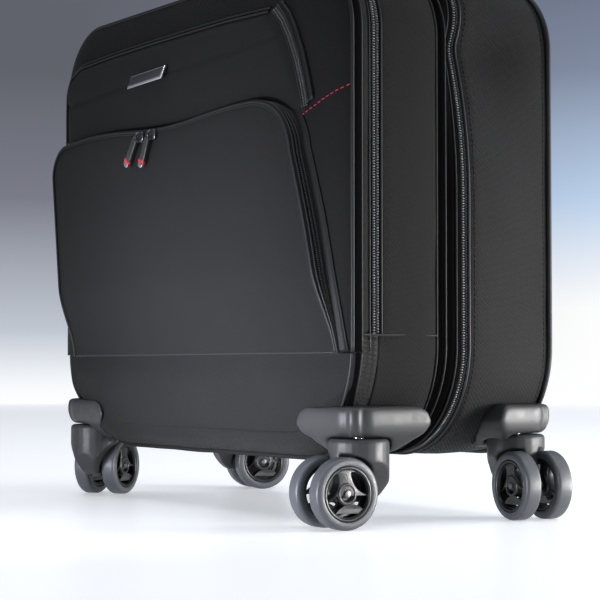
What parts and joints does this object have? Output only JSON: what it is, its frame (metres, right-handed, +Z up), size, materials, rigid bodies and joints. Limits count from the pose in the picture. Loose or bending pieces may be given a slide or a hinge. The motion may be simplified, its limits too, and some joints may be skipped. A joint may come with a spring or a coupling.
{
  "type": "rolling laptop case",
  "caption": "Soft-sided rolling laptop case in black woven nylon with zipped pockets, a telescopic pull handle and twin-wheel swivel casters.",
  "frame": {"origin": "on the floor, under the centre of the whole box", "axes": "+X to the case's right seen from its front, -Y towards the pockets on its front, +Z up"},
  "size_m": [0.4719, 0.2425, 0.423],
  "materials": {
    "nylon": "black ballistic nylon, fine twill weave",
    "zipper_tape": "black coil zipper on woven tape",
    "lining": "padded grey lining",
    "black_plastic": "fine satin texture",
    "grey_plastic": "satin moulded, fine spark texture",
    "hub_plastic": "satin moulded",
    "tyre": "smooth grey-black polyurethane",
    "steel": "turned steel",
    "aluminium": "satin anodised",
    "dark_metal": "gunmetal plated",
    "pull_rubber": "ribbed, with a red band"
  },
  "bodies": {
    "rear_section": {"rear_shell": "nylon", "main_zipper": "zipper_tape", "back_board": "black_plastic", "outer_tube_left": "aluminium", "outer_tube_right": "aluminium", "handle_bezel": "black_plastic", "guard_rear_left": "grey_plastic", "guard_rear_right": "grey_plastic"},
    "front_section": {"front_shell": "nylon", "laptop_zipper": "zipper_tape", "laptop_sleeve": "lining", "guard_front_left": "grey_plastic", "guard_front_right": "grey_plastic"},
    "front_panel": {"front_panel": "nylon", "upper_pocket": "nylon", "badge_plate": "aluminium"},
    "pocket_flap": {"pocket_flap": "nylon"},
    "handle_stage_1": {"middle_tube_left": "aluminium", "middle_tube_right": "aluminium"},
    "handle_stage_2": {"inner_tube_left": "aluminium", "inner_tube_right": "aluminium", "handle_grip": "black_plastic"},
    "handle_button": {"handle_button": "grey_plastic"},
    "carry_handle": {"carry_handle": "nylon"},
    "pocket_left_slider": {"pocket_left_slider": "dark_metal"},
    "pocket_left_pull": {"pocket_left_pull": "pull_rubber"},
    "pocket_right_slider": {"pocket_right_slider": "dark_metal"},
    "pocket_right_pull": {"pocket_right_pull": "pull_rubber"},
    "laptop_slider": {"laptop_slider": "dark_metal"},
    "laptop_pull": {"laptop_pull": "pull_rubber"},
    "main_slider": {"main_slider": "dark_metal"},
    "main_pull": {"main_pull": "pull_rubber"},
    "caster_front_right": {"fork_front_right": "grey_plastic", "swivel_pin_front_right": "steel", "axle_front_right": "steel"},
    "wheel_front_right_a": {"hub_front_right_a": "hub_plastic", "tyre_front_right_a": "tyre"},
    "wheel_front_right_b": {"hub_front_right_b": "hub_plastic", "tyre_front_right_b": "tyre"},
    "caster_front_left": {"fork_front_left": "grey_plastic", "swivel_pin_front_left": "steel", "axle_front_left": "steel"},
    "wheel_front_left_a": {"hub_front_left_a": "hub_plastic", "tyre_front_left_a": "tyre"},
    "wheel_front_left_b": {"hub_front_left_b": "hub_plastic", "tyre_front_left_b": "tyre"},
    "caster_rear_right": {"fork_rear_right": "grey_plastic", "swivel_pin_rear_right": "steel", "axle_rear_right": "steel"},
    "wheel_rear_right_a": {"hub_rear_right_a": "hub_plastic", "tyre_rear_right_a": "tyre"},
    "wheel_rear_right_b": {"hub_rear_right_b": "hub_plastic", "tyre_rear_right_b": "tyre"},
    "caster_rear_left": {"fork_rear_left": "grey_plastic", "swivel_pin_rear_left": "steel", "axle_rear_left": "steel"},
    "wheel_rear_left_a": {"hub_rear_left_a": "hub_plastic", "tyre_rear_left_a": "tyre"},
    "wheel_rear_left_b": {"hub_rear_left_b": "hub_plastic", "tyre_rear_left_b": "tyre"}
  },
  "joints": [
    {"name": "front_section_hinge", "type": "hinge", "parent": "rear_section", "child": "front_section", "pos_m": [-0.213, 0.009, 0.225], "axis": [0, 0, -1], "range_deg": [0, 90]},
    {"name": "laptop_panel_fold", "type": "hinge", "parent": "front_section", "child": "front_panel", "pos_m": [-0.004, -0.0915, 0.122], "axis": [1, 0, 0], "range_deg": [0, 35]},
    {"name": "pocket_flap_fold", "type": "hinge", "parent": "front_panel", "child": "pocket_flap", "pos_m": [-0.004, -0.1098, 0.1225], "axis": [1, 0, 0], "range_deg": [0, 60]},
    {"name": "handle_lower_slide", "type": "slide", "parent": "rear_section", "child": "handle_stage_1", "axis": [0, 0, 1], "range_m": [0, 0.26]},
    {"name": "handle_upper_slide", "type": "slide", "parent": "handle_stage_1", "child": "handle_stage_2", "axis": [0, 0, 1], "range_m": [0, 0.26]},
    {"name": "handle_button_press", "type": "slide", "parent": "handle_stage_2", "child": "handle_button", "axis": [0, 0, -1], "range_m": [0, 0.003], "stiffness_N_per_m": 400},
    {"name": "carry_handle_lift", "type": "slide", "parent": "rear_section", "child": "carry_handle", "axis": [0, 0, 1], "range_m": [0, 0.015]},
    {"name": "pocket_left_slider_run", "type": "slide", "parent": "pocket_flap", "child": "pocket_left_slider", "axis": [1, 0, 0], "range_m": [-0.127, 0]},
    {"name": "pocket_right_slider_run", "type": "slide", "parent": "pocket_flap", "child": "pocket_right_slider", "axis": [1, 0, 0], "range_m": [0, 0.095]},
    {"name": "laptop_slider_run", "type": "slide", "parent": "front_panel", "child": "laptop_slider", "axis": [0, 0, 1], "range_m": [-0.155, 0.03]},
    {"name": "main_slider_run", "type": "slide", "parent": "rear_section", "child": "main_slider", "axis": [1, 0, 0], "range_m": [-0.14, 0.14]},
    {"name": "pocket_left_pull_swing", "type": "hinge", "parent": "pocket_left_slider", "child": "pocket_left_pull", "pos_m": [-0.054, -0.1152, 0.296], "axis": [-1, 0, 0], "range_deg": [0, 90]},
    {"name": "pocket_right_pull_swing", "type": "hinge", "parent": "pocket_right_slider", "child": "pocket_right_pull", "pos_m": [-0.035, -0.1152, 0.296], "axis": [-1, 0, 0], "range_deg": [0, 90]},
    {"name": "laptop_pull_swing", "type": "hinge", "parent": "laptop_slider", "child": "laptop_pull", "pos_m": [-0.2184, -0.076, 0.302], "axis": [0, 1, 0], "range_deg": [0, 90]},
    {"name": "main_pull_swing", "type": "hinge", "parent": "main_slider", "child": "main_pull", "pos_m": [-0.004, 0.009, 0.4094], "axis": [-1, 0, 0], "range_deg": [0, 90]},
    {"name": "swivel_front_right", "type": "hinge", "parent": "front_section", "child": "caster_front_right", "pos_m": [0.1877, -0.0742, 0.062], "axis": [0, 0, 1], "continuous": true},
    {"name": "spin_front_right_a", "type": "hinge", "parent": "caster_front_right", "child": "wheel_front_right_a", "pos_m": [0.1997, -0.09609, 0.025], "axis": [0.9976, -0.0698, 0], "continuous": true},
    {"name": "spin_front_right_b", "type": "hinge", "parent": "caster_front_right", "child": "wheel_front_right_b", "pos_m": [0.17277, -0.09421, 0.025], "axis": [0.9976, -0.0698, 0], "continuous": true},
    {"name": "swivel_front_left", "type": "hinge", "parent": "front_section", "child": "caster_front_left", "pos_m": [-0.1957, -0.0742, 0.062], "axis": [0, 0, 1], "continuous": true},
    {"name": "spin_front_left_a", "type": "hinge", "parent": "caster_front_left", "child": "wheel_front_left_a", "pos_m": [-0.21828, -0.06355, 0.025], "axis": [-0.848, -0.5299, 0], "continuous": true},
    {"name": "spin_front_left_b", "type": "hinge", "parent": "caster_front_left", "child": "wheel_front_left_b", "pos_m": [-0.19538, -0.04924, 0.025], "axis": [-0.848, -0.5299, 0], "continuous": true},
    {"name": "swivel_rear_right", "type": "hinge", "parent": "rear_section", "child": "caster_rear_right", "pos_m": [0.1877, 0.0722, 0.062], "axis": [0, 0, 1], "continuous": true},
    {"name": "spin_rear_right_a", "type": "hinge", "parent": "caster_rear_right", "child": "wheel_rear_right_a", "pos_m": [0.21055, 0.08225, 0.025], "axis": [0.1564, 0.9877, 0], "continuous": true},
    {"name": "spin_rear_right_b", "type": "hinge", "parent": "caster_rear_right", "child": "wheel_rear_right_b", "pos_m": [0.20633, 0.05558, 0.025], "axis": [0.1564, 0.9877, 0], "continuous": true},
    {"name": "swivel_rear_left", "type": "hinge", "parent": "rear_section", "child": "caster_rear_left", "pos_m": [-0.1957, 0.0722, 0.062], "axis": [0, 0, 1], "continuous": true},
    {"name": "spin_rear_left_a", "type": "hinge", "parent": "caster_rear_left", "child": "wheel_rear_left_a", "pos_m": [-0.20355, 0.0959, 0.025], "axis": [-0.9686, 0.2487, 0], "continuous": true},
    {"name": "spin_rear_left_b", "type": "hinge", "parent": "caster_rear_left", "child": "wheel_rear_left_b", "pos_m": [-0.1774, 0.08918, 0.025], "axis": [-0.9686, 0.2487, 0], "continuous": true}
  ]
}
